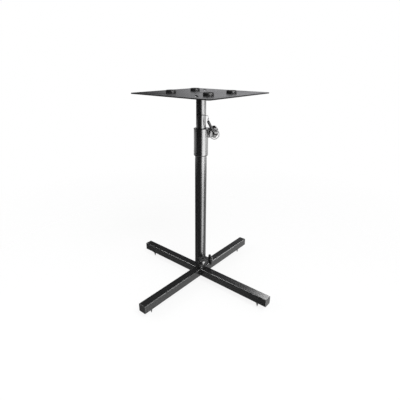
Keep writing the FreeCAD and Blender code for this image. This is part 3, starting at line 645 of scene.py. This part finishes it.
def socketScrew(name, outline, flats, depth, sides=48):
    top = outline[0][1]
    chamfer = screwEdges["socketChamfer"]
    build = bmesh.new()

    def ring(radius, height, hexagon=False):
        made = []
        for k in range(sides):
            angle = 2 * math.pi * k / sides
            local = (angle + math.pi / 6) % (math.pi / 3) - math.pi / 6
            reach = radius / math.cos(local) if hexagon else radius
            made.append(build.verts.new((reach * math.cos(angle), reach * math.sin(angle), height)))
        return made
    half = flats / 2
    rings = [ring(half, top - depth, True), ring(half, top - chamfer, True), ring(half + chamfer, top, True)]
    rings += [ring(radius, height) for radius, height in outline]
    return tubeMesh(name, build, rings, 35)


def screwTree():
    graph, given = newTree("screwSet", [("Screw", "Object"), ("Finish", "Material"), ("Seed", "Int")])
    shape = graph.node("GeometryNodeObjectInfo", {}, {"Object": given["Screw"]}, "Geometry")
    turn = graph.node("FunctionNodeRandomValue", {"data_type": "FLOAT"},
                      {"Min": 0.0, "Max": 6.283, "Seed": given["Seed"]}, "Value")
    facing = graph.node("ShaderNodeCombineXYZ", {}, {2: turn})
    placed = graph.node("GeometryNodeInstanceOnPoints", {},
                        {"Points": given["Geometry"], "Instance": shape, "Rotation": facing})
    return closeTree(graph, placed, given["Finish"])


screwSet = screwTree()
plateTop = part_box("top_plate")[1][2]
for seed, (name, look) in enumerate(screwLooks.items(), start=3):
    shape = socketScrew(name + "Shape", screwOutline(look), look["flats"], look["depth"])
    screw = bpy.data.objects.new(name + "Shape", shape)
    points = bpy.data.meshes.new(name + "Spots")
    points.from_pydata([(x, y, plateTop) for x, y in look["spots"]], [], [])
    mesh = grown(name, points, screwSet, {"Screw": screw, "Finish": finishes[slotOf[name]], "Seed": seed})
    takeOver(name + "Socket", mesh, name)
    bpy.data.objects.remove(screw)
print("screws:", sum(len(look["spots"]) for look in screwLooks.values()))

# Rubber pads: moulded discs with a soft rim, a shallow groove and a well for the screw
padLook = {"radius": 0.015, "height": 0.007, "foot": 0.0005, "rim": 0.0024, "well": 0.005, "wellDepth": 0.003,
           "wellFillets": (0.0008, 0.0004), "bore": 0.00205, "groove": 0.0115, "grooveWide": 0.0009,
           "grooveDeep": 0.0006, "grooveFillet": 0.0003}
padPlaces = {"pad_left": (-0.07, -0.054), "pad_front": (0.07, -0.054), "pad_right": (0.07, 0.054),
             "pad_back": (-0.07, 0.054)}


def padOutline(look):
    height, groove, wide, fillet = look["height"], look["groove"], look["grooveWide"], look["grooveFillet"]
    wellFloor = height - look["wellDepth"]
    wellRim, wellFoot = look["wellFillets"]
    return filleted([
        (look["bore"], 0.0, 0), (look["radius"], 0.0, look["foot"]), (look["radius"], height, look["rim"]),
        (groove + wide, height, fillet), (groove, height - look["grooveDeep"], fillet),
        (groove - wide, height, fillet), (look["well"], height, wellRim), (look["well"], wellFloor, wellFoot),
        (look["bore"], wellFloor, 0)], 6)


for name, (x, y) in padPlaces.items():
    mesh = lathe(name, padOutline(padLook), 96, closed=True)
    mesh.transform(Matrix.Translation((x, y, plateTop)))
    takeOver(name + "Moulded", mesh, name)
print("pads:", len(padPlaces))

# Weld beads: overlapping drops along a line, for the beams' inner corners and the bosses on the column
weldLook = {"drop": 0.0008, "sizes": (0.88, 1.06), "step": 0.0006, "inner": 0.01375, "low": 0.0247,
            "high": 0.0478, "saddle": 0.0132, "saddleSteps": 72, "column": 0.0185}
bossKnobs = {"foot_boss_right": "foot_right_knob", "foot_boss_front": "foot_front_knob"}


def beadTree():
    graph, given = newTree("weldBead", [("Drop", "Float"), ("Step", "Float"), ("Seed", "Int"),
                                        ("Finish", "Material")])
    line = graph.node("GeometryNodeMeshToCurve", {}, {"Mesh": given["Geometry"]})
    line = graph.node("GeometryNodeResampleCurve", {"mode": "LENGTH"},
                      {"Curve": line, "Length": given["Step"]})
    drop = graph.node("GeometryNodeMeshIcoSphere", {}, {"Radius": given["Drop"], "Subdivisions": 3})
    drop = graph.node("GeometryNodeSetShadeSmooth", {}, {"Geometry": drop})
    smallest, largest = weldLook["sizes"]
    size = graph.node("FunctionNodeRandomValue", {"data_type": "FLOAT"},
                      {"Min": smallest, "Max": largest, "Seed": given["Seed"]}, "Value")
    beads = graph.node("GeometryNodeInstanceOnPoints", {}, {"Points": line, "Instance": drop, "Scale": size})
    return closeTree(graph, beads, given["Finish"])


def weldLine(name, lines, sitsOn, seed):
    points, edges = [], []
    for line in lines:
        edges += [(len(points) + i, len(points) + i + 1) for i in range(len(line) - 1)]
        points += line
    path = bpy.data.meshes.new(name)
    path.from_pydata(points, edges, [])
    values = {"Drop": weldLook["drop"], "Step": weldLook["step"], "Seed": seed, "Finish": dullCoat}
    addPiece(name, grown(name, path, weldBead, values), sitsOn, dullCoat)


def saddleLine(turn, height):
    # The line on which a round boss meets the column
    facing = Matrix.Rotation(math.radians(turn), 3, "Z")
    steps = weldLook["saddleSteps"]
    ring = []
    for i in range(steps + 1):
        angle = 2 * math.pi * i / steps
        side, rise = weldLook["saddle"] * math.cos(angle), weldLook["saddle"] * math.sin(angle)
        out = math.sqrt(weldLook["column"] ** 2 - side ** 2)
        ring.append(facing @ Vector((out, side, 0)) + Vector((0, 0, height + rise)))
    return ring


weldBead = beadTree()
inner, low, high = weldLook["inner"], weldLook["low"], weldLook["high"]
corners = [(x * inner, y * inner) for x in (-1, 1) for y in (-1, 1)]
weldLine("cornerWelds", [[(x, y, low), (x, y, high)] for x, y in corners], "base_beam_long", 5)
for seed, (boss, knob) in enumerate(bossKnobs.items(), start=6):
    turn, height, kind = knobPlaces[knob]
    weldLine(boss + "Weld", [saddleLine(turn, height)], boss, seed)
print("welds done")


def around(turn, away, height):
    return (away * math.cos(math.radians(turn)), away * math.sin(math.radians(turn)), height)


def areaLamp(name, place, target, size, power):
    lamp = bpy.data.lights.new(name, "AREA")
    lamp.shape = "RECTANGLE"
    lamp.size, lamp.size_y = size
    lamp.energy = power
    holder = bpy.data.objects.new(name, lamp)
    scene.collection.objects.link(holder)
    holder.location = place
    holder.rotation_euler = (Vector(target) - Vector(place)).to_track_quat("-Z", "Y").to_euler()
    holder.visible_camera = False
    return holder


def shadedFrom(name, pieces):
    # A collection whose pieces a lamp leaves unlit
    group = bpy.data.collections.new(name)
    for piece in pieces:
        group.objects.link(bpy.data.objects[piece])
    for link in group.collection_objects:
        link.light_linking.link_state = "EXCLUDE"
    return group


# Light: boxes that only show as reflections, soft lamps for the level, and a card for the shaded side
boxLooks = {
    "upperBox": {"place": around(-4.5, 1.7, 0.39), "size": (1.34, 1.02), "glow": 17.0},
    "leadBox": {"place": around(-31.5, 1.7, 0.39), "size": (0.33, 1.02), "glow": 6.5},
    "lowerBox": {"place": around(-6, 1.7, -0.72), "size": (1.17, 1.35), "glow": 10.0},
    "sideBox": {"place": around(32.5, 1.9, 0.175), "size": (1.06, 0.59), "glow": 9.0},
    "farBox": {"place": around(71, 1.9, 0.175), "size": (1.6, 0.59), "glow": 2.5},
    "rearBox": {"place": (0.13, 1.4, 1.78), "target": (0.10, 0, 1.0), "size": (1.36, 1.04), "glow": 14.0},
    "leftEdgeBox": {"place": (-1.05, -0.66, 1.65), "target": (0, 0, 0.05), "size": (0.9, 0.9), "glow": 18.0},
}
lampLooks = {
    "keyLamp": {"place": (1.5, -0.7, 2.2), "size": (1.4, 1.4), "power": 42.0},
    "fillLamp": {"place": (-1.2, -1.6, 1.6), "size": (1.6, 1.6), "power": 12.0},
}
lampTarget = (0, 0, 0.3)
highBox = 1.0  # boxes above this height leave the pads and screws on the plate unlit too
flatPieces = ["top_plateRounded", "plate_flangeRounded"]
topPieces = [name + "Moulded" for name in padPlaces] + [name + "Socket" for name in screwLooks]
flatShade = shadedFrom("flatShade", flatPieces)
topShade = shadedFrom("topShade", flatPieces + topPieces)
for name, look in boxLooks.items():
    height = look["place"][2]
    power = look["glow"] * math.pi * look["size"][0] * look["size"][1]
    box = areaLamp(name, look["place"], look.get("target", (0, 0, height)), look["size"], power)
    box.visible_diffuse = False
    box.light_linking.receiver_collection = topShade if height > highBox else flatShade
for name, look in lampLooks.items():
    lamp = areaLamp(name, look["place"], lampTarget, look["size"], look["power"])
    lamp.visible_glossy = False

# The card bends round the shaded side; turns are in degrees about the column, glows in the light's own units
cardLook = {"turns": (-47, -262), "steps": 48, "away": 2.2, "heights": (-2.6, 3.2), "felt": 0.003,
            "deep": 0.012, "bright": 0.55, "fade": (142.0, 116.0), "lid": 1.1, "lidShare": 0.12,
            "slit": (-0.13, 0.17), "slitTurn": 234.0, "slitGlow": 2.0, "band": (0.6, 1.05),
            "bandFade": (143.0, 129.0), "bandDeep": 0.10, "bandBright": 0.6, "skirt": -1.0,
            "skirtTurns": (215.0, 245.0), "skirtGlow": 0.3}


def cardMesh(look):
    mesh = bpy.data.meshes.new("shadeCard")
    steps = look["steps"]
    first, last = look["turns"]
    turns = [first + (last - first) * i / steps for i in range(steps + 1)]
    rows = [around(turn, look["away"], height) for height in look["heights"] for turn in turns]
    mesh.from_pydata(rows, [], [(i, i + 1, i + steps + 2, i + steps + 1) for i in range(steps)])
    return mesh


def fading(turn, start, end):
    return ((start - turn) / (start - end)).clamped()


def within(wire, low, high):
    return (wire > low) * (wire < high)


def cardFelt(look):
    fixed = {"Base Color": grey(look["felt"]), "Roughness": 1.0, "Specular IOR Level": 0.0,
             "Emission Strength": 1.0}
    material, graph, shader, place = newFinish("shadeFelt", fixed)
    x, y, z = graph.split(place)
    turn = graph.maths("ARCTAN2", y, x) * (180 / math.pi)
    turn = turn + (turn < 0.0) * 360
    lid = 1 - (z > look["lid"]) * (1 - look["lidShare"])
    glow = graph.mixColour(fading(turn, *look["fade"]) * lid, grey(look["deep"]), grey(look["bright"]))
    band = graph.mixColour(fading(turn, *look["bandFade"]), grey(look["bandDeep"]), grey(look["bandBright"]))
    glow = graph.mixColour(within(z, *look["band"]), glow, band)
    slit = within(z, *look["slit"]) * (turn < look["slitTurn"])
    glow = graph.mixColour(slit, glow, grey(look["slitGlow"], 1.0))
    skirt = (z < look["skirt"]) * within(turn, *look["skirtTurns"])
    glow = graph.mixColour(skirt, glow, grey(look["skirtGlow"], 1.0))
    graph.feed(shader, {"Emission Color": glow})
    return material


shadeCard = bpy.data.objects.new("shadeCard", cardMesh(cardLook))
scene.collection.objects.link(shadeCard)
shadeCard.visible_camera = False
shadeCard.visible_diffuse = False
shadeCard.visible_transmission = False
shadeCard.visible_shadow = False
shadeCard.data.materials.append(cardFelt(cardLook))

# White backdrop from the world, which lights the stand less than it shows
worldLook = {"ambient": 0.55}
world = bpy.data.worlds.new("studio")
scene.world = world
world.use_nodes = True
worldGraph = Graph(world.node_tree)
backdrop = world.node_tree.nodes["Background"]
seen = worldGraph.ray("Is Camera Ray") + worldGraph.ray("Is Glossy Ray")
seen = seen + worldGraph.ray("Is Transmission Ray")
backdrop.inputs["Color"].default_value = (1, 1, 1, 1)
worldGraph.feed(backdrop, {"Strength": worldLook["ambient"] + seen.clamped() * (1 - worldLook["ambient"])})

# White floor that fades into the backdrop and keeps the shadow
floorLook = {"reach": 1.6, "solid": 0.55, "clear": 1.5, "rings": 24, "sides": 72, "paper": 0.84, "patch": 6.0,
             "whites": (0.97, 0.99), "rough": 0.8}


def floorPaper(look):
    fixed = {"Roughness": look["rough"], "Specular IOR Level": 0.0, "Emission Strength": 1.0}
    material, graph, shader, place = newFinish("whiteFloor", fixed)
    distance = graph.node("ShaderNodeVectorMath", {"operation": "LENGTH"}, {0: place}, "Value")
    fade = ((distance - look["solid"]) / (look["clear"] - look["solid"])).clamped()
    lift = graph.ray("Is Camera Ray") * look["paper"]
    dimmer, brighter = look["whites"]
    paper = graph.mixColour(graph.noise(place, look["patch"]), grey(dimmer, 1.0), grey(brighter, 1.0))
    shaded = graph.mixColour(lift, paper, grey(0.0))
    white = graph.mixColour(lift, grey(0.0), grey(1.0, 1.0))
    graph.feed(shader, {"Base Color": shaded, "Emission Color": white, "Alpha": 1 - fade})
    return material


ringStep = floorLook["reach"] / floorLook["rings"]
floorOutline = [(ringStep * i, 0.0) for i in range(floorLook["rings"] + 1)]
floor = bpy.data.objects.new("floor", lathe("floor", floorOutline, floorLook["sides"]))
scene.collection.objects.link(floor)
floor.visible_glossy = False
floor.data.materials.append(floorPaper(floorLook))
print("light and floor set")
